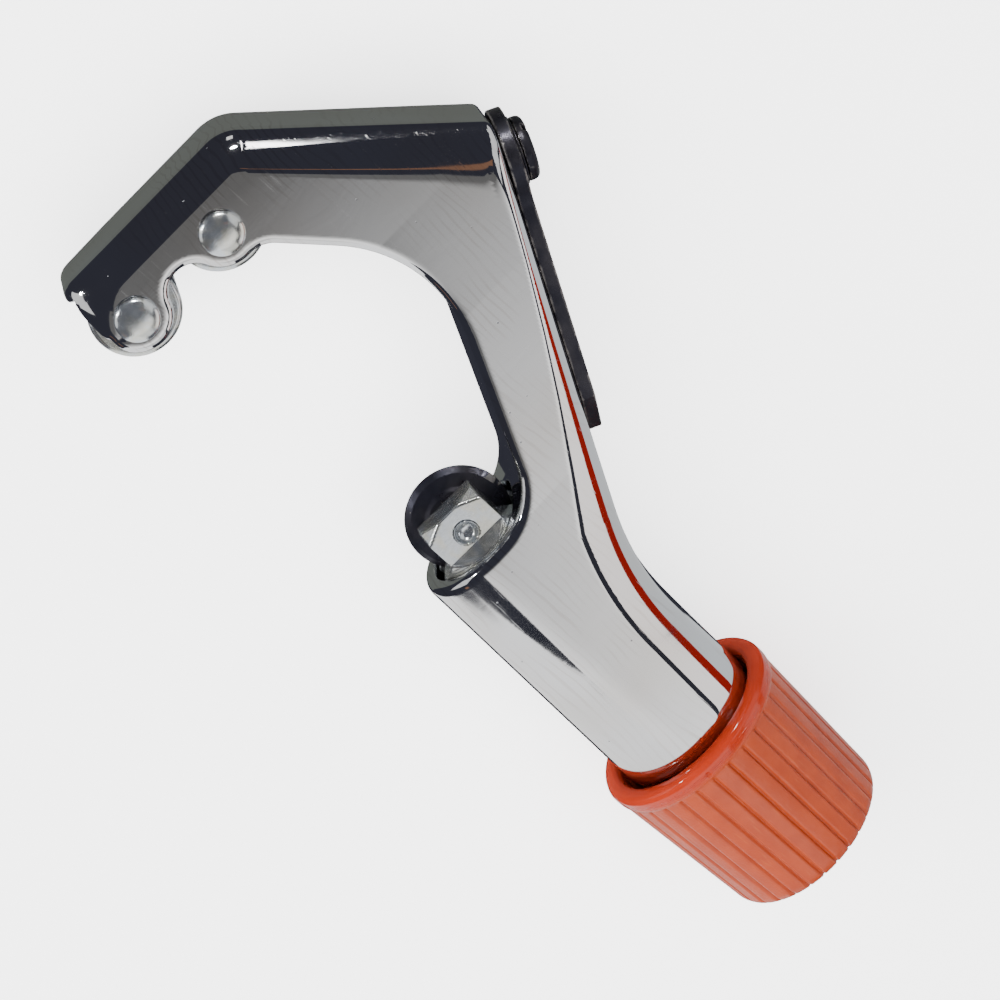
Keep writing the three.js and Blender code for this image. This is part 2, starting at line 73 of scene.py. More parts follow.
def rounded_max(a, b, k):
    """The larger of two fields, with the edge where they cross rounded over about k."""
    h = np.maximum(k - np.abs(a - b), 0.0) / k
    return np.maximum(a, b) + h * h * k * 0.25


def rounded_min(a, b, k):
    return -rounded_max(-a, -b, k)


def on_circle(centre, r, degrees):
    angle = math.radians(degrees)
    return np.array([centre[0] + r * math.cos(angle), centre[1] + r * math.sin(angle)])


def near_line(x, y, a, b):
    """Distance to the line from a to b, +1 on its left or -1 on its right, and the share of the
    way along it."""
    along = b - a
    length = np.hypot(*along)
    along = along / length
    t = (x - a[0]) * along[0] + (y - a[1]) * along[1]
    off = (y - a[1]) * along[0] - (x - a[0]) * along[1]
    over = t - np.clip(t, 0, length)
    return np.hypot(off, over), np.where(off >= 0, 1.0, -1.0), np.clip(t / length, 0, 1)


def near_arc(x, y, centre, r, start, end):
    """The same for an arc between two angles in degrees, which counts as going straight on past
    its ends."""
    turn = end - start
    middle = (start + end) / 2
    angle = np.degrees(np.arctan2(y - centre[1], x - centre[0]))
    angle = middle + (angle - middle + 180) % 360 - 180
    share = np.clip((angle - start) / turn, 0, 1)
    at = np.radians(start + share * turn)
    px = centre[0] + r * np.cos(at)
    py = centre[1] + r * np.sin(at)
    way = math.copysign(1, turn)
    beside = -((x - px) * np.cos(at) + (y - py) * np.sin(at)) * way
    inside = (r - np.hypot(x - centre[0], y - centre[1])) * way
    left = np.where((share > 0) & (share < 1), inside, beside) >= 0
    return np.hypot(x - px, y - py), np.where(left, 1.0, -1.0), share


class Chain:
    """An open outline of lines and arcs. Each may give the width and depth of the shoulder along
    it, at its start and end."""

    def __init__(self):
        self.parts = []

    def line(self, a, b, width=(1, 1), depth=(1, 1)):
        self.parts.append((near_line, (np.array(a, float), np.array(b, float)), width, depth))
        return self

    def arc(self, centre, r, start, end, width=(1, 1), depth=(1, 1)):
        self.parts.append((near_arc, (centre, r, start, end), width, depth))
        return self

    def side(self, x, y):
        """Signed distance to the outline, positive on the left of its travel, and the shoulder's
        width and depth at the nearest place."""
        best = np.full(x.shape, 1e9)
        signed = np.full(x.shape, 1e9)
        width = np.ones(x.shape)
        depth = np.ones(x.shape)
        for near, outline, w, d in self.parts:
            dist, sign, share = near(x, y, *outline)
            nearer = dist < best
            best = np.where(nearer, dist, best)
            signed = np.where(nearer, dist * sign, signed)
            width = np.where(nearer, w[0] + (w[1] - w[0]) * share, width)
            depth = np.where(nearer, d[0] + (d[1] - d[0]) * share, depth)
        return signed, width, depth


CREASE = math.radians(55)


def shoulder(chain, x, y, z, half):
    """Field of the slab on the left of a chain. Its edge is a part of an ellipse that leaves the
    wall smoothly and meets the flat cheek at a crease."""
    inside, w, d = chain.side(x, y)
    a = w / (1 - math.cos(CREASE))
    b = d / math.sin(CREASE)
    u = np.maximum((a - inside) / a, 0)
    v = np.maximum((np.abs(z) - half + d) / b, 0)
    q = np.hypot(u, v)
    # the two tiny terms keep the middle of the ellipse from dividing nought by nought
    ellipse = (q - 1) * (q + 1e-6) / (np.hypot(u / a, v / b) + 1e-7)
    return ellipse + np.minimum(a - inside, 0) * 0.5


def surface_mesh(name, field, low, high, step, basis=np.eye(3), at=(0, 0, 0)):
    """Closed quad mesh of field = 0 (negative inside): one vertex per crossed cell, moved onto
    the surface along the field's slope. The columns of basis and the point at place the field's
    own axes on the tool."""
    # the field on a grid, and the cells that the surface crosses
    counts = [int(math.ceil((h - l) / step)) + 1 for l, h in zip(low, high)]
    axes = [l + step * np.arange(n) for l, n in zip(low, counts)]
    values = np.empty(counts, dtype=np.float32)
    yy, zz = np.meshgrid(axes[1], axes[2], indexing="ij")
    for i, x in enumerate(axes[0]):
        values[i] = field(np.full_like(yy, x), yy, zz)
    inside = values < 0
    cells = np.zeros([n - 1 for n in counts], dtype=np.uint8)
    for corner in range(8):
        s = [slice(1, None) if corner >> a & 1 else slice(None, -1) for a in range(3)]
        cells += inside[tuple(s)]
    crossed = (cells > 0) & (cells < 8)
    ids = np.full(crossed.shape, -1, dtype=np.int64)
    ids[crossed] = np.arange(crossed.sum())

    # each vertex starts at the mean of the places where its cell's edges cross the surface
    base = np.argwhere(crossed)
    total = np.zeros((len(base), 3))
    hits = np.zeros(len(base))
    for axis in range(3):
        for other in range(4):
            off = np.zeros(3, dtype=int)
            rest = [a for a in range(3) if a != axis]
            off[rest[0]] = other & 1
            off[rest[1]] = other >> 1
            a = base + off
            b = a.copy()
            b[:, axis] += 1
            fa = values[tuple(a.T)]
            fb = values[tuple(b.T)]
            hit = (fa < 0) != (fb < 0)
            t = np.where(hit, fa / np.where(hit, fa - fb, 1), 0)
            p = a.astype(float)
            p[:, axis] += t
            total[hit] += p[hit]
            hits += hit
    verts = np.array(low) + step * total / hits[:, None]

    def slope(p):
        reach = 0.02
        g = np.empty_like(p)
        for axis in range(3):
            ahead = p.copy()
            ahead[:, axis] += reach
            behind = p.copy()
            behind[:, axis] -= reach
            g[:, axis] = (field(*ahead.T) - field(*behind.T)) / (2 * reach)
        return g

    # then it slides onto the surface, by less than half a cell each time
    for _ in range(3):
        g = slope(verts)
        length = np.maximum((g * g).sum(1), 1e-4)
        move = -(field(*verts.T) / length)[:, None] * g
        size = np.linalg.norm(move, axis=1, keepdims=True)
        verts += move * np.minimum(1, 0.45 * step / np.maximum(size, 1e-9))

    # one quad round each grid edge that the surface crosses
    quads = []
    for axis in range(3):
        s0 = [slice(None)] * 3
        s1 = [slice(None)] * 3
        s0[axis] = slice(None, -1)
        s1[axis] = slice(1, None)
        edge = inside[tuple(s0)] != inside[tuple(s1)]
        found = np.argwhere(edge)
        u, v = [(1, 2), (2, 0), (0, 1)][axis]
        ok = (found[:, u] > 0) & (found[:, v] > 0)
        ok &= (found[:, u] < counts[u] - 1) & (found[:, v] < counts[v] - 1)
        found = found[ok]
        starts_inside = inside[tuple(found.T)]
        corners = []
        for du, dv in ((-1, -1), (0, -1), (0, 0), (-1, 0)):
            c = found.copy()
            c[:, u] += du
            c[:, v] += dv
            corners.append(ids[tuple(c.T)])
        quad = np.stack(corners, axis=1)
        quad[~starts_inside] = quad[~starts_inside][:, ::-1]
        quads.append(quad)
    quads = np.concatenate(quads)

    mesh = bpy.data.meshes.new(name)
    mesh.from_pydata(to_row(verts @ basis.T + at).tolist(), [], quads.tolist())
    mesh.validate()
    mesh.update()
    mesh.polygons.foreach_set("use_smooth", np.ones(len(mesh.polygons), dtype=bool))
    normals = slope(verts) @ basis.T
    normals /= np.maximum(np.linalg.norm(normals, axis=1, keepdims=True), 1e-9)
    mesh.normals_split_custom_set_from_vertices(normals.tolist())
    obj = bpy.data.objects.new(name, mesh)
    bpy.context.collection.objects.link(obj)
    return obj


def soften(profile, size):
    """Profile of (station, radius) with each corner rounded by a short curve, and a point just
    outside each curve that keeps the flats flat."""
    points = [np.array(p, float) for p in profile]
    out = [points[0]]
    for before, here, after in zip(points, points[1:], points[2:]):
        back, on = before - here, after - here
        r = min(size, 0.38 * np.hypot(*back), 0.38 * np.hypot(*on))
        back, on = back / np.hypot(*back), on / np.hypot(*on)
        out.append(here + back * (r + 0.04))
        for t in (0, 0.25, 0.5, 0.75, 1):
            out.append(here + back * r * (1 - t) ** 2 + on * r * t * t)
        out.append(here + on * (r + 0.04))
    return out + [points[-1]]


def lathe(name, profile, basis=np.eye(3), at=(0, 0, 0), angles=96, shift=None):
    """Turned mesh of a profile of (station, radius), closed through the axis or into a ring.
    The third column of basis is the axis; shift(station, radius, angle) moves the radius."""
    ring = np.allclose(profile[0], profile[-1])
    points = np.array(profile[:-1] if ring else profile)
    turn = np.linspace(0, 2 * math.pi, angles, endpoint=False) if isinstance(angles, int) else angles
    bm = bmesh.new()
    rows = []
    for s, r in points:
        if r < 1e-6:
            rows.append([bm.verts.new(to_row(basis @ (0, 0, s) + at))] * len(turn))
            continue
        radius = r + (shift(s, r, turn) if shift else 0 * turn)
        local = np.stack([radius * np.cos(turn), radius * np.sin(turn), np.full_like(turn, s)], axis=1)
        rows.append([bm.verts.new(p) for p in to_row(local @ basis.T + at)])
    pairs = list(zip(rows, rows[1:])) + ([(rows[-1], rows[0])] if ring else [])
    for low, high in pairs:
        for i in range(len(turn)):
            j = (i + 1) % len(turn)
            corners = list(dict.fromkeys((low[i], low[j], high[j], high[i])))
            bm.faces.new(corners).smooth = True
    bmesh.ops.recalc_face_normals(bm, faces=bm.faces)
    mesh = bpy.data.meshes.new(name)
    bm.to_mesh(mesh)
    bm.free()
    obj = bpy.data.objects.new(name, mesh)
    bpy.context.collection.objects.link(obj)
    return obj


ALONG_X = np.array([[0, 0, 1], [1, 0, 0], [0, 1, 0]], float)  # a lathe's axis laid along X
STEP = 1.0


# ------------------------------------------------------------------ frame casting

HALF = 9.5  # half the plate's thickness
FRONT_X, FRONT_R = -75.4, 8.45  # the jaw's front wall and the bend above it
DIAGONAL = 95.9  # the diagonal top wall is y = x + DIAGONAL
SPINE = 27.55  # the spine's back is y = SPINE - x / 2
BLEND_R, BLEND_TO = 50, -92.2  # the curve from the spine to the tube, and the angle it ends at
BACK_Y = 11.9  # the back of the web along the tube
END_Y, LOBE_Y = -15.6, -15.3  # the jaw's end at the front, and at the lower roller
ROLL_X, ROLL_Y = -64.8, 9.4  # the rollers stand at ROLL_Y and -ROLL_Y
LOBE, NOTCH_IN = 5.9, 0.4  # radius of the jaw round a roller, and the notch's depth past ROLL_X
THROAT_C, THROAT_R = np.array([-34.2, 1.23]), 24.3
INNER = 24.5  # slope of the inner edge above the tube's mouth, in degrees
KNEE_R = 5  # bend between the upper roller and the throat
ELBOW_R = 12  # bend where the inner edge turns down into the mouth
MOUTH_X, TUBE_END = 4.2, 72
TUBE_R, FLARE, FLARE_RUN = 12.15, 1.4, 51  # the tube swells by FLARE over FLARE_RUN
NECK_R = 13.2
BORE_R, PIN_HOLE = 9.7, 2.8
SCREW_HOLE, GUIDE_X, GUIDE_HOLE = 2.2, 9, 2.2  # for the reamer's screw and the guide pin
SLOT_HALF = 6.3  # the rollers' slot
SLAB_END = 57
RISE_Y = 24.0  # the cheeks climb from here towards the tube

BACK = math.atan(0.5)
BACK_N = np.array([math.sin(BACK), math.cos(BACK)])
BACK_T = np.array([math.cos(BACK), -math.sin(BACK)])
CORNER = np.array([(SPINE - DIAGONAL) / 1.5, SPINE - (SPINE - DIAGONAL) / 3])
BLEND_C = np.array([27.3 + BLEND_R * math.tan(BACK / 2), 63.9])
BLEND_START = BLEND_C - BLEND_R * BACK_N
FRONT_C = np.array([FRONT_X + FRONT_R, FRONT_X + DIAGONAL - FRONT_R * math.tan(math.pi / 8)])
DIAG_END = FRONT_C + FRONT_R * np.array([-math.sqrt(0.5), math.sqrt(0.5)])


def past_corner(mm):
    """A place on the diagonal wall, or on its line beyond the top corner."""
    return CORNER + mm * np.array([1, 1]) / math.sqrt(2)


# The outer walls, travelled so that the metal is on their left. Each stretch gives the width and
# depth of its shoulder at its start and end.
outer_front = (Chain()
    .line(past_corner(12), CORNER, (8.8, 8.8), (4, 4))
    .line(CORNER, past_corner(-9), (8.8, 7.5), (4, 4.2))
    .line(past_corner(-9), DIAG_END, (7.5, 5.6), (4.2, 5.4))
    .arc(FRONT_C, FRONT_R, 135, 180, (5.6, 4.7), (5.4, 5.4))
    .line((FRONT_X, FRONT_C[1]), (FRONT_X, -4), (4.7, 4.6), (5.4, 5.4))
    .line((FRONT_X, -4), (FRONT_X, -30), (4.6, 5), (5.4, 7)))
outer_end = (Chain()
    .line((-90, END_Y), (-72, END_Y), (2.6, 2.6), (6, 6))
    .line((-72, END_Y), (-64.5, LOBE_Y), (2.6, 0.9), (6, 0.9))
    .line((-64.5, LOBE_Y), (-40, LOBE_Y), (0.9, 0.9), (0.9, 0.9)))


def back_width(p):
    """The back shoulder widens with the distance from the top corner."""
    return 1.2 + np.hypot(*(p - CORNER)) ** 2 / 800


def back_depth(knot):
    """It is 6.5 deep at the curve and 2.2 deep at the top corner, six knots on."""
    return 6.5 - knot / 6 * 4.3


outer_back = Chain()
outer_back.line((90, BACK_Y), on_circle(BLEND_C, BLEND_R, BLEND_TO), (6.5, 6.5), (8, 8))
outer_back.arc(BLEND_C, BLEND_R, BLEND_TO, -90 - math.degrees(BACK), (6.5, back_width(BLEND_START)),
               (8, 6.5))
back_knots = [BLEND_START + (CORNER - BLEND_START) * t for t in np.linspace(0, 1, 7)]
for i, (p, q) in enumerate(zip(back_knots, back_knots[1:])):
    outer_back.line(p, q, (back_width(p), back_width(q)), (back_depth(i), back_depth(i + 1)))
outer_back.line(CORNER, CORNER - 12 * BACK_T, (1.2, 1.2), (2.2, 2.2))

# The inner edge: round the lower roller, a notch that touches both lobes, the upper roller, the
# throat, and down into the tube's mouth.
NOTCH_R = (ROLL_Y ** 2 + NOTCH_IN ** 2 - LOBE ** 2) / (2 * LOBE + 2 * NOTCH_IN)
NOTCH_X = ROLL_X - NOTCH_IN + NOTCH_R
NOTCH_A = math.degrees(math.atan2(ROLL_Y, NOTCH_X - ROLL_X))
KNEE_C = (ROLL_X + LOBE + KNEE_R, ROLL_Y + 0.5)
inner_slope = math.radians(INNER)
throat_to = on_circle(THROAT_C, THROAT_R, 90 - INNER)
edge_y = throat_to[1] - (MOUTH_X - throat_to[0]) * math.tan(inner_slope)
elbow_run = ELBOW_R * math.tan((math.pi / 2 - inner_slope) / 2)
elbow_from = np.array([MOUTH_X - elbow_run * math.cos(inner_slope),
                       edge_y + elbow_run * math.sin(inner_slope)])
inner_side = (Chain()
    .line((ROLL_X, -40), (ROLL_X, -ROLL_Y - LOBE))
    .arc((ROLL_X, -ROLL_Y), LOBE, -90, NOTCH_A)
    .arc((NOTCH_X, 0), NOTCH_R, 180 + NOTCH_A, 180 - NOTCH_A)
    .arc((ROLL_X, ROLL_Y), LOBE, -NOTCH_A, 5)
    .arc(KNEE_C, KNEE_R, 180, 130)
    .line(on_circle(KNEE_C, KNEE_R, 130), on_circle(THROAT_C, THROAT_R, 130))
    .arc(THROAT_C, THROAT_R, 130, 90 - INNER)
    .line(throat_to, elbow_from)
    .arc((MOUTH_X - ELBOW_R, edge_y - elbow_run), ELBOW_R, 90 - INNER, 0)
    .line((MOUTH_X, edge_y - elbow_run), (MOUTH_X, -30)))

# The reamer's screw stands on the back, a little way down from the top corner.
PIVOT = CORNER + (1.6 * math.tan((math.pi / 4 + BACK) / 2) + 6.6) * BACK_T


def tube_radius(x):
    return TUBE_R + FLARE * (np.maximum(x, MOUTH_X) - MOUTH_X) / FLARE_RUN


def half_thickness(x, y):
    """The cheeks climb from the plate's thickness to the crown of the tube."""
    lean = np.arcsin(tube_radius(x) / math.hypot(RISE_Y, HALF)) - math.atan2(HALF, RISE_Y)
    ramp = (RISE_Y - y + np.hypot(RISE_Y - y, 5)) / 2
    return HALF + np.tan(lean) * ramp * np.clip((x + 45) / 18, 0, 1)


def slab_field(x, y, z):
    """Jaw, spine and web with their shoulders. The web stays above the tube's axis, and narrows to
    pass into the knob's mouth."""
    half = half_thickness(x, y)
    slab = rounded_max(shoulder(outer_front, x, y, z, half), shoulder(outer_back, x, y, z, half), 1.2)
    slab = rounded_max(slab, shoulder(outer_end, x, y, z, half), 3.0)
    slab = rounded_max(slab, np.abs(z) - half, 0.25)
    slab = rounded_max(slab, -inner_side.side(x, y)[0], 1.8)
    slab = rounded_max(slab, np.where(x > -2, 1.4 - y, -50.0), 0.6)
    room = 14.0 + np.clip((54.5 - x) * 0.25, 0, 1.5) + np.maximum(48.5 - x, 0) * 6
    slab = rounded_max(slab, np.hypot(y, z) - room, 0.4)
    return rounded_max(slab, x - SLAB_END, 1.0)


def tube_field(x, y, z):
    """The tube, with a thinner neck where the knob goes over it."""
    across = np.hypot(y, z)
    neck = np.where(x > 40, across - NECK_R - np.maximum(56 - x, 0) * 3, -50)
    tube = rounded_max(across - tube_radius(x), neck, 0.3)
    tube = rounded_max(tube, MOUTH_X - x, 1.8)
    return rounded_max(tube, x - TUBE_END, 0.8)


def cast_field(x, y, z):
    seam = 0.1 + 1.3 * np.clip((y - 4) / 6, 0, 1)
    body = rounded_min(slab_field(x, y, z), tube_field(x, y, z), seam)
    # bore, slot for the rollers, and the holes for their pins
    body = rounded_max(body, np.minimum(BORE_R - np.hypot(y, z), x + 6), 0.7)
    gap = np.maximum.reduce([-72.9 - x, x + 50, np.abs(z) - SLOT_HALF, y - 17.5])
    body = rounded_max(body, -gap, 0.5)
    for side in (-1, 1):
        body = np.maximum(body, PIN_HOLE - np.hypot(x - ROLL_X, y - side * ROLL_Y))
    # hole for the reamer's screw, and hole for the guide pin
    s = (x - PIVOT[0]) * BACK_T[0] + (y - PIVOT[1]) * BACK_T[1]
    n = (x - PIVOT[0]) * BACK_N[0] + (y - PIVOT[1]) * BACK_N[1]
    body = np.maximum(body, -np.maximum(np.hypot(s, z) - SCREW_HOLE, -9.4 - n))
    return np.maximum(body, -np.maximum(np.hypot(x - GUIDE_X, y) - GUIDE_HOLE, z + 9))


casting = surface_mesh("frame_casting", cast_field, (-77, -17.5, -14.5), (74, 52.5, 14.5), 0.42 * STEP)


# ------------------------------------------------------------------ rollers, slide and wheel

def closed(profile, size):
    """A softened profile that ends where it began, for a ring."""
    return soften(profile, size) + [np.array(profile[0])]


def roller(name, y):
    half, r = 5.95, 7.5
    profile = [(-half, PIN_HOLE), (-half, r - 0.6), (-half + 0.6, r), (-2.2, r), (-1.6, r - 0.8),
               (0.6, r - 0.8), (1.2, r), (half - 0.6, r), (half, r - 0.6), (half, PIN_HOLE),
               (-half, PIN_HOLE)]
    return lathe(name, closed(profile, 0.3), at=(ROLL_X, y, 0))


def roller_pin(name, y):
    """A pin with a groove for its clip on the far side and a domed head on the near one."""
    seat, shank, groove, head = HALF + 0.3, 2.45, 1.8, 3.65
    dome = [(seat + 0.25 + 1.35 * math.sin(t), head * math.cos(t))
            for t in np.radians(np.linspace(4, 90, 22))]
    dome[-1] = (dome[-1][0], 0.0)
    stem = soften([(-11.7, 0), (-11.7, shank), (-10.95, shank), (-10.95, groove), (-9.85, groove),
                   (-9.85, shank), (seat, shank), (seat, head), (seat + 0.34, head)], 0.15)
    return lathe(name, stem[:-1] + dome, at=(ROLL_X, y, 0), angles=72)


SLIDE_R, SLIDE_TIP, SLIDE_END = 9.4, -4.5, 60
FORK_Y, FORK_Z = 5.85, 7.3  # half the square fork's sides
WHEEL_SLOT, WHEEL_PIN_HOLE = 2.1, 2.16


def slide_field(x, y, z):
    across = np.hypot(y, z)
    body = np.maximum(across - SLIDE_R, x - SLIDE_END)
    body = rounded_max(body, SLIDE_TIP - x, 0.3)
    # four corner facets at the front, and the square fork that runs out into the round body
    body = rounded_max(body, 0.362 * np.abs(y) + 0.562 * np.abs(z) - 0.745 * x - 8.19, 0.15)
    climb = np.maximum(x - 2.4, 0) * 1.1
    square = np.maximum(np.abs(y) - FORK_Y - climb, np.abs(z) - FORK_Z - climb) * 0.8
    body = rounded_max(body, square, 0.25)
    # slot for the wheel, hole for its pin
    body = rounded_max(body, -np.maximum(np.abs(z) - WHEEL_SLOT, x - 9.9), 0.2)
    body = rounded_max(body, WHEEL_PIN_HOLE - np.hypot(x, y), 0.1)
    # inner chamber, bore for the screw, groove for the guide pin
    body = np.maximum(body, -np.maximum.reduce([across - 6.2, 13 - x, x - 53]))
    body = np.maximum(body, -np.maximum(across - 5.05, 45 - x))
    return np.maximum(body, -np.maximum.reduce([np.abs(y) - 1.75, 7 - x, x - 58.5, z + 7.4]))


roller_lower = roller("roller_lower_turned", -ROLL_Y)
roller_upper = roller("roller_upper_turned", ROLL_Y)
pin_lower = roller_pin("roller_pin_lower_headed", -ROLL_Y)
pin_upper = roller_pin("roller_pin_upper_headed", ROLL_Y)
feed_slide = surface_mesh("feed_slide_milled", slide_field, (-5, -9.9, -9.9), (60.6, 9.9, 9.9),
                          0.3 * STEP)

wheel_profile = [(-1.75, 2.45), (-1.75, 5.2), (-1.3, 5.9), (-0.95, 8), (-0.05, 9), (0.05, 9), (0.95, 8),
                 (1.3, 5.9), (1.75, 5.2), (1.75, 2.45), (-1.75, 2.45)]
wheel = lathe("cutter_wheel_ground", closed(wheel_profile, 0.12), angles=128)

DISH_Z, DISH_R, DISH_DEPTH = 7.45, 1.9, 1.5
dish = [(DISH_Z - DISH_DEPTH * math.sin(t), DISH_R * math.cos(t))
        for t in np.radians(np.linspace(0, 90, 14))]
dish[-1] = (dish[-1][0], 0.0)
wheel_pin = lathe("wheel_pin_dished", soften(
    [(-9.3, 0), (-9.3, 2.1), (-8.8, 2.1), (-8.8, 1.55), (-7.7, 1.55), (-7.7, 2.1), (7.55, 2.1),
     (7.55, 1.95), (DISH_Z, DISH_R)], 0.12)[:-1] + dish, angles=64)


# ------------------------------------------------------------------ knob

GROOVES = 30
PITCH = 2 * math.pi / GROOVES
FIRST = PITCH * 0.87  # the first groove's angle
GROOVE_START = 58.2  # where the grooves begin behind the lip
GROOVE_DEPTH, GROOVE_HALF = 0.55, math.radians(1.5)
GATE_X, GATE_ANGLE = 57.1, math.radians(94.5)
GATE_DEPTH, GATE_R = 0.4, 0.6

# Rings of points are close together across each groove and wide apart on the lands.
across_pitch = np.radians([-1.6, -1.1, -0.6, 0, 0.6, 1.1, 1.6, 3, 4.5, 6, 7.5, 9])
knob_angles = np.concatenate([i * PITCH + across_pitch + FIRST for i in range(GROOVES)])


def knob_shift(s, r, angle):
    """Grooves between the lands, and the small gate mark on the lip. The inside stays smooth."""
    if r < 14.2:
        return np.zeros_like(angle)
    place = (angle - FIRST + PITCH / 2) % PITCH - PITCH / 2
    groove = np.clip(1 - np.abs(place) / GROOVE_HALF, 0, 1)
    start = np.clip((s - GROOVE_START) / 0.7, 0, 1)
    gate = np.hypot((angle - GATE_ANGLE + math.pi) % (2 * math.pi) - math.pi, (s - GATE_X) / r) * r
    groove = GROOVE_DEPTH * start * np.sin(groove * math.pi / 2) ** 1.5
    return -groove - GATE_DEPTH * np.clip(1 - gate / GATE_R, 0, 1)


shell_profile = [(75.05, 9.3), (75.05, 13.7), (58.7, 14.05), (55.65, 14.45), (54.95, 14.95), (54.7, 15.6),
                 (54.72, 16.6), (55.1, 17.4), (55.9, 17.8), (56.5, 17.8), (56.8, 17.79), (57.1, 17.78),
                 (57.4, 17.77), (57.9, 17.7), (58.3, 17.52), (58.9, 17.45), (60, 17.4), (86.4, 16.0),
                 (87.4, 15.6), (88, 14.9), (88.2, 13.9), (88.2, 11.3), (85.5, 11.3), (85.5, 9.3),
                 (75.05, 9.3)]
knob_shell = lathe("knob_shell_moulded", closed(shell_profile, 0.35), ALONG_X, angles=knob_angles,
                   shift=knob_shift)
cap_profile = [(85.8, 0), (85.8, 11), (87.9, 11), (87.9, 8), (87.6, 7.6), (87.6, 0)]
knob_cap = lathe("knob_end_cap_moulded", soften(cap_profile, 0.35), ALONG_X, angles=96)


# ------------------------------------------------------------------ reamer

# Its own axes: along the back, across it, and out of it.
BACK_BASIS = np.array([[BACK_T[0], 0, BACK_N[0]], [BACK_T[1], 0, BACK_N[1]], [0, -1, 0]])
PIVOT_AT = (PIVOT[0], PIVOT[1], 0)
BLADE = [(0, -5.1), (10, -4.9), (42.5, -3.3), (49.5, 0.9), (48.9, 2.6), (10, 4.9), (0, 5.1)]
EYE_R, EYE_HOLE = 7.5, 3.1
SLOT_TURN = math.radians(35)


def blade_field(s, t, n):
    """The flat blade, with a round eye about the screw."""
    outline = -s
    for (s0, t0), (s1, t1) in zip(BLADE, BLADE[1:]):
        length = math.hypot(s1 - s0, t1 - t0)
        outline = np.maximum(outline, ((s - s0) * (t1 - t0) - (t - t0) * (s1 - s0)) / length)
    outline = rounded_min(outline, np.hypot(s, t) - EYE_R, 2.0)
    body = rounded_max(outline, np.maximum(0.3 - n, n - 2.7), 0.35)
    # the bevel ground along one edge, from just past the eye to the tip
    ground = 0.788 * (t + 4.02 - (s - 33) * 0.0454) - 0.616 * (n - 2.37)
    body = rounded_max(body, -np.maximum(ground, 10 - s), 0.1)
    return rounded_max(body, EYE_HOLE - np.hypot(s, t), 0.2)


def pivot_screw_field(s, t, n):
    around = np.hypot(s, t)
    shank = np.maximum.reduce([around - 1.85, -8.6 - n, n - 1])
    collar = np.maximum.reduce([around - 2.75, 0.3 - n, n - 4])
    head = rounded_max(np.maximum(around - 5.3, 3.5 - n), n - 5.45 + around ** 2 * 0.006, 1.2)
    beside = np.abs(s * math.sin(SLOT_TURN) - t * math.cos(SLOT_TURN))
    slot = np.maximum(beside - 0.6, 4.6 - n)
    return rounded_max(np.minimum.reduce([shank, collar, head]), -slot, 0.15)


blade = surface_mesh("reamer_blade_ground", blade_field, (-8, -8, 0), (50.2, 8, 3), 0.25 * STEP,
                     BACK_BASIS, PIVOT_AT)
pivot_screw = surface_mesh("reamer_pivot_screw_headed", pivot_screw_field, (-5.8, -5.8, -9),
                           (5.8, 5.8, 5.9), 0.2 * STEP, BACK_BASIS, PIVOT_AT)
washer_profile = [(2.95, EYE_HOLE), (2.95, 5.6), (3.25, 5.6), (3.25, EYE_HOLE), (2.95, EYE_HOLE)]
washer = lathe("reamer_washer_pressed", closed(washer_profile, 0.1), BACK_BASIS, PIVOT_AT, angles=64)


# ------------------------------------------------------------------ materials

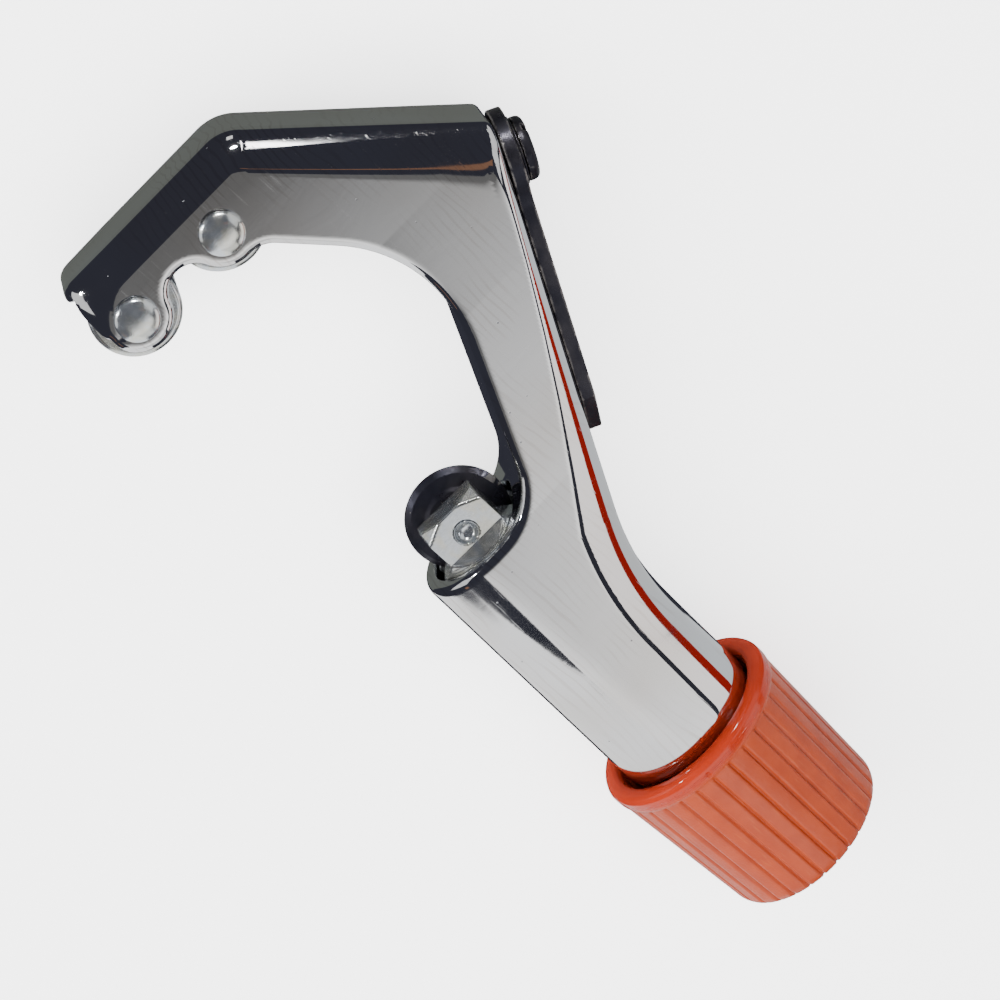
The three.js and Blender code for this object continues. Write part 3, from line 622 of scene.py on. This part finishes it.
class Finish:
    """A node material. Its helpers return the sockets they make. Scales are in cells per metre."""

    def __init__(self, name, metallic):
        self.material = bpy.data.materials.new(name)
        self.material.use_nodes = True
        self.tree = self.material.node_tree
        self.shader = self.tree.nodes["Principled BSDF"]
        self.shader.inputs["Metallic"].default_value = metallic
        self.place = self.tree.nodes.new("ShaderNodeTexCoord").outputs["Object"]

    def node(self, kind, **inputs):
        n = self.tree.nodes.new(kind)
        for key, value in inputs.items():
            socket = n.inputs[int(key[1:])] if key[1:].isdigit() else n.inputs[key.replace("_", " ")]
            if isinstance(value, bpy.types.NodeSocket):
                self.tree.links.new(value, socket)
            else:
                socket.default_value = value
        return n

    def stretched(self, scale):
        return self.node("ShaderNodeMapping", Vector=self.place, Scale=scale).outputs[0]

    def noise(self, scale, detail=4.0, vector=None, distortion=0.0):
        return self.node("ShaderNodeTexNoise", Vector=vector or self.place, Scale=scale, Detail=detail,
                         Distortion=distortion).outputs["Fac"]

    def between(self, value, low, high, to_low=0.0, to_high=1.0):
        """Value from low to high, brought smoothly to the range from to_low to to_high."""
        n = self.node("ShaderNodeMapRange", Value=value, From_Min=low, From_Max=high, To_Min=to_low,
                      To_Max=to_high)
        n.interpolation_type = "SMOOTHSTEP"
        return n.outputs[0]

    def times(self, a, b):
        n = self.node("ShaderNodeMath", i0=a, i1=b)
        n.operation = "MULTIPLY"
        return n.outputs[0]

    def plus(self, a, b):
        return self.node("ShaderNodeMath", i0=a, i1=b).outputs[0]

    def mix(self, fac, a, b):
        n = self.tree.nodes.new("ShaderNodeMix")
        n.data_type = "RGBA"
        for key, value in ((0, fac), (6, a), (7, b)):
            if isinstance(value, bpy.types.NodeSocket):
                self.tree.links.new(value, n.inputs[key])
            else:
                n.inputs[key].default_value = (*value, 1)
        return n.outputs[2]

    def polish_lines(self):
        """Faint lines that a buffing wheel leaves, in patches."""
        wave = self.node("ShaderNodeTexWave", Vector=self.stretched((0.35, 1, 1)), Scale=230,
                         Distortion=16, Detail=3, Detail_Scale=0.35)
        wave.bands_direction = "Y"
        faint = self.between(self.noise(70, 3), 0.4, 0.65)
        return self.times(self.between(wave.outputs["Fac"], 0.72, 0.98), faint)

    def worn_edges(self, low, high):
        """1 on the sharp edges, from a pointiness of low to one of high."""
        point = self.tree.nodes.new("ShaderNodeNewGeometry").outputs["Pointiness"]
        return self.between(point, low, high)

    def specks(self, scale, size, keep):
        """Small round marks: one per cell, kept where the cell's own colour is above keep."""
        cells = self.node("ShaderNodeTexVoronoi", Vector=self.place, Scale=scale)
        colour = self.node("ShaderNodeSeparateColor", Color=cells.outputs["Color"])
        chosen = self.between(colour.outputs[0], keep, keep + 0.02)
        return self.times(self.between(cells.outputs["Distance"], size, size * 0.4), chosen)

    def finish(self, colour, roughness, height, distance):
        """Joins the sockets to the shader. distance is the height's full depth in metres."""
        for name, value in (("Base Color", colour), ("Roughness", roughness)):
            self.tree.links.new(value, self.shader.inputs[name])
        bump = self.node("ShaderNodeBump", Height=height, Strength=1.0, Distance=distance)
        self.tree.links.new(bump.outputs[0], self.shader.inputs["Normal"])
        return self.material


def chrome_finish():
    """Bright plating over a cast surface: clouding, buffing lines, pits and fine scratches."""
    f = Finish("chrome", 1.0)
    cloud = f.between(f.noise(28, 3), 0.35, 0.7)
    pits = f.specks(420, 0.09, 0.8)
    scratch = f.between(f.noise(1, 2, f.stretched((90, 2600, 1400))), 0.66, 0.74)
    grain = f.noise(1, 3, f.stretched((160, 60, 160)), 1.5)
    colour = f.mix(cloud, (0.80, 0.81, 0.83), (0.72, 0.70, 0.685))
    colour = f.mix(f.times(f.polish_lines(), 0.3), colour, (0.5, 0.45, 0.42))
    colour = f.mix(pits, colour, (0.5, 0.52, 0.56))
    rough = f.plus(f.between(f.noise(60, 4), 0.3, 0.75, 0.035, 0.09), f.times(pits, 0.45))
    rough = f.plus(rough, f.times(scratch, 0.1))
    height = f.plus(f.times(grain, 0.5), f.times(f.plus(pits, f.times(scratch, 0.25)), -1.0))
    return f.finish(colour, rough, height, 0.000008)


def zinc_finish():
    """Dull plating, bluish and yellowish in patches, with dark pits."""
    f = Finish("zinc", 0.96)
    tint = f.between(f.noise(240, 3, distortion=1.0), 0.35, 0.68)
    pits = f.specks(900, 0.14, 0.9)
    colour = f.mix(tint, (0.66, 0.70, 0.74), (0.70, 0.70, 0.64))
    colour = f.mix(pits, colour, (0.3, 0.31, 0.33))
    rough = f.plus(f.between(f.noise(700, 4), 0.3, 0.75, 0.15, 0.27), f.times(pits, 0.2))
    height = f.plus(f.noise(1500, 4), f.times(pits, -1.0))
    return f.finish(colour, rough, height, 0.000012)


def steel_finish():
    """Ground steel with lines from the wheel."""
    f = Finish("steel", 1.0)
    lines = f.noise(1, 3, f.stretched((3000, 500, 500)))
    colour = f.mix(f.between(f.noise(150, 4), 0.35, 0.7), (0.56, 0.56, 0.55), (0.40, 0.39, 0.38))
    return f.finish(colour, f.between(lines, 0.3, 0.75, 0.28, 0.46), lines, 0.00001)


def oxide_finish():
    """Black oxide, worn to bare metal in places along the edges."""
    f = Finish("black_oxide", 0.75)
    cloud = f.between(f.noise(130, 5), 0.35, 0.7)
    worn = f.times(f.worn_edges(0.515, 0.56), f.between(f.noise(500, 4), 0.35, 0.62))
    pits = f.specks(700, 0.12, 0.75)
    colour = f.mix(cloud, (0.012, 0.012, 0.019), (0.028, 0.026, 0.032))
    colour = f.mix(f.plus(f.times(worn, 0.55), f.times(pits, 0.25)), colour, (0.42, 0.40, 0.38))
    rough = f.between(f.noise(450, 5), 0.3, 0.75, 0.26, 0.5)
    return f.finish(colour, rough, f.plus(f.noise(1300, 5), f.times(pits, -0.8)), 0.00002)


def plastic_finish():
    """Orange plastic: a glossy lip, and a paler, matte grip with long scuffs."""
    f = Finish("orange", 0.0)
    f.shader.inputs["Specular IOR Level"].default_value = 0.45
    along = f.node("ShaderNodeSeparateXYZ", Vector=f.place).outputs[0]
    lip_end = float(to_row((GROOVE_START + 0.2, 0, 0))[0])
    matte = f.between(along, lip_end - 0.0015, lip_end)
    deep = f.mix(f.between(f.noise(90, 5), 0.35, 0.7), (0.27, 0.020, 0.006), (0.235, 0.017, 0.005))
    pale = f.mix(f.between(f.noise(260, 5), 0.3, 0.7), (0.27, 0.031, 0.004), (0.235, 0.025, 0.003))
    colour = f.mix(matte, deep, pale)
    scuffs = f.times(f.between(f.noise(1, 3, f.stretched((150, 1500, 1500))), 0.6, 0.72), matte)
    colour = f.mix(f.times(scuffs, 0.35), colour, (0.34, 0.07, 0.02))
    grain = f.noise(2200, 4)
    rough = f.plus(f.times(matte, f.between(grain, 0.3, 0.75, 0.22, 0.34)),
                   f.between(f.noise(300, 3), 0.3, 0.7, 0.07, 0.12))
    return f.finish(colour, rough, f.times(grain, f.plus(f.times(matte, 0.9), 0.15)), 0.00004)


FINISHES = {"chrome": chrome_finish(), "zinc": zinc_finish(), "steel": steel_finish(),
            "black_oxide": oxide_finish(), "orange": plastic_finish()}
SLOTS = {s["node"]: s["material_slot"] for s in frame["record"]["subparts"]}

for piece, node in ((casting, "frame"), (roller_lower, "roller_lower"), (roller_upper, "roller_upper"),
                    (pin_lower, "roller_pin_lower"), (pin_upper, "roller_pin_upper"),
                    (feed_slide, "feed_slide"), (wheel, "cutter_wheel"), (wheel_pin, "wheel_pin"),
                    (knob_shell, "knob_shell"), (knob_cap, "knob_end_cap"), (blade, "reamer_blade"),
                    (washer, "reamer_washer"), (pivot_screw, "reamer_pivot_screw")):
    body = next(b for b, members in frame["record"]["behaviour"]["bodies"].items() if node in members)
    piece.data.materials.append(FINISHES[SLOTS[node]])
    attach(piece, body)
    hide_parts(node)

for node, obj in frame["nodes"].items():
    obj.data.materials.clear()
    obj.data.materials.append(FINISHES[SLOTS[node]])


# ------------------------------------------------------------------ floor and light

def panel(name, corners, colour, strength, fade=None):
    """A flat glowing panel seen only in the metal. fade is (from X, to X, strength at from X)."""
    mesh = bpy.data.meshes.new(name)
    mesh.from_pydata(corners, [], [range(len(corners))])
    obj = bpy.data.objects.new(name, mesh)
    bpy.context.collection.objects.link(obj)
    m = bpy.data.materials.new(name)
    m.use_nodes = True
    nodes, links = m.node_tree.nodes, m.node_tree.links
    nodes.clear()
    emit = nodes.new("ShaderNodeEmission")
    emit.inputs["Color"].default_value = (*colour, 1)
    emit.inputs["Strength"].default_value = strength
    if fade is not None:
        place = nodes.new("ShaderNodeNewGeometry")
        split = nodes.new("ShaderNodeSeparateXYZ")
        ramp = nodes.new("ShaderNodeMapRange")
        ramp.inputs["From Min"].default_value = fade[0]
        ramp.inputs["From Max"].default_value = fade[1]
        ramp.inputs["To Min"].default_value = fade[2]
        ramp.inputs["To Max"].default_value = strength
        links.new(place.outputs["Position"], split.inputs[0])
        links.new(split.outputs[0], ramp.inputs["Value"])
        links.new(ramp.outputs[0], emit.inputs["Strength"])
    links.new(emit.outputs[0], nodes.new("ShaderNodeOutputMaterial").inputs[0])
    mesh.materials.append(m)
    obj.visible_camera = False
    obj.visible_diffuse = False
    obj.visible_shadow = False
    return obj


def lamp(name, centre, size, power):
    """A soft light on the floor and the plastic, kept out of the metal's reflections."""
    data = bpy.data.lights.new(name, "AREA")
    data.shape = "SQUARE"
    data.size = size
    data.energy = power
    obj = bpy.data.objects.new(name, data)
    bpy.context.collection.objects.link(obj)
    obj.location = centre
    obj.rotation_euler = (-Vector(centre)).to_track_quat("-Z", "Y").to_euler()
    obj.visible_glossy = False
    return obj


def along_x(y, outline):
    """A panel standing along X, from an outline of (x, height)."""
    return [(x, y, z) for x, z in outline]


def level(z, outline):
    return [(x, y, z) for x, y in outline]


def upright(p, q, outline):
    """A standing panel, from an outline of (share of the way from p to q, height)."""
    return [(p[0] + (q[0] - p[0]) * t, p[1] + (q[1] - p[1]) * t, z) for t, z in outline]


def wall(p, q, low, high):
    return upright(p, q, [(0, low), (1, low), (1, high), (0, high)])


floor_mesh = bpy.data.meshes.new("floor")
floor_mesh.from_pydata([(-3, -3, 0), (3, -3, 0), (3, 3, 0), (-3, 3, 0)], [], [(0, 1, 2, 3)])
floor = bpy.data.objects.new("floor", floor_mesh)
bpy.context.collection.objects.link(floor)
floor.location = (0, 0, -0.0005)
floor.visible_glossy = False
floor_mat = bpy.data.materials.new("floor")
floor_mat.use_nodes = True
floor_shader = floor_mat.node_tree.nodes["Principled BSDF"]
for name, value in (("Base Color", (0.9, 0.9, 0.9, 1)), ("Roughness", 0.9), ("Specular IOR Level", 0.0),
                    ("Emission Color", (1, 1, 1, 1)), ("Emission Strength", 2.2)):
    floor_shader.inputs[name].default_value = value
floor_mesh.materials.append(floor_mat)

world = bpy.data.worlds.new("world")
bpy.context.scene.world = world
world.use_nodes = True
world.node_tree.nodes["Background"].inputs[0].default_value = (0.034, 0.035, 0.048, 1)

lamp("overhead", (0.1, -0.1, 1.6), 2.4, 98)
lamp("front_fill", (-0.9, -1.1, 1.0), 1.2, 42)

# What the metal sees. A ceiling fades towards the jaw. A white side stands beyond the tube, and the
# corner cut out of both leaves a dark wedge by the mouth.
WARM, WHITE, COPPER = (1.0, 0.985, 0.97), (1, 1, 1), (0.62, 0.32, 0.2)
CEILING_Z = 1.0
SIDE_Y = -0.85
panel("ceiling", level(CEILING_Z, [(0.1, -0.66), (0.43, -0.68), (0.55, -0.85), (0.8, -0.85),
                                   (0.8, 0.32), (0.1, 0.32)]), WARM, 1.5, (0.19, 0.50, 0.15))
panel("ceiling_far", level(CEILING_Z, [(0.8, -0.85), (3.0, -0.85), (3.0, 0.0), (0.8, 0.0)]), WHITE, 1.0)
panel("side_white", along_x(SIDE_Y, [(0.31, -1.2), (1.9, -1.2), (1.9, 1.0), (0.55, 1.0), (0.34, 0.38),
                                     (0.315, 0.03)]), WHITE, 1.45)

# A pale wall behind the spine, with a red strip across it and a grey ground under it.
BACK_P, BACK_Q = (0.454, 0.835), (0.946, 0.085)
for name, low, high, colour, strength in (("back_pale", 0.15, 0.65, (1.0, 0.94, 0.91), 1.5),
                                          ("back_red", -0.06, 0.15, (0.45, 0.02, 0.012), 0.8),
                                          ("back_ground", -1.6, -0.06, (0.93, 0.97, 1.0), 0.8)):
    panel(name, wall(BACK_P, BACK_Q, low, high), colour, strength)

# More light behind the tool, for views from its open side.
panel("sky_back", level(CEILING_Z, [(0.0, 0.5), (0.45, 0.5), (0.6, 1.7), (-0.9, 1.7)]), WHITE, 0.9)
panel("wall_back", wall((-0.72, 1.7), (0.78, 1.7), 0.08, 1.0), WHITE, 0.8)

# Light from the open side, which the fork's corner facets and the jaw's lower corner pick up.
panel("wall_open", wall((-0.86, -0.68), (-0.25, -0.95), -0.1, 0.5), WHITE, 0.9)
panel("facet_light", wall((-1.0, 0.48), (-0.9, 0.62), -0.1, 0.12), WHITE, 1.3)

# A grey-green ground outside the jaw, a lamp with two sparks, and a copper glow.
panel("jaw_ground", level(-0.3, [(-0.42, -0.3), (0.0, -0.3), (0.0, 0.45), (-0.42, 0.45)]),
      (0.93, 1.0, 0.93), 0.16)
STRIP = [(0, 0.45), (0.45, 0.62), (0.85, 1.1), (0.85, 1.16), (0.4, 0.85), (0, 0.50)]
panel("lamp_strip", upright((-1.003, 1.069), (-0.869, 1.174), STRIP), WHITE, 9.0)
for name, y, z in (("spark_front", -0.85, 0.5), ("spark_back", 0.8, 0.75)):
    low, high = y - 0.1, y + 0.1
    panel(name, level(z, [(-1.2, low), (-1.0, low), (-1.0, high), (-1.2, high)]), WHITE, 220)
panel("copper_end", along_x(SIDE_Y, [(0.08, 0.32), (0.27, 0.32), (0.27, 0.42), (0.08, 0.42)]), COPPER,
      0.5)
panel("copper_glow", level(CEILING_Z, [(-0.10, 0.20), (0.08, 0.38), (0.02, 0.44), (-0.12, 0.22)]),
      COPPER, 0.4)
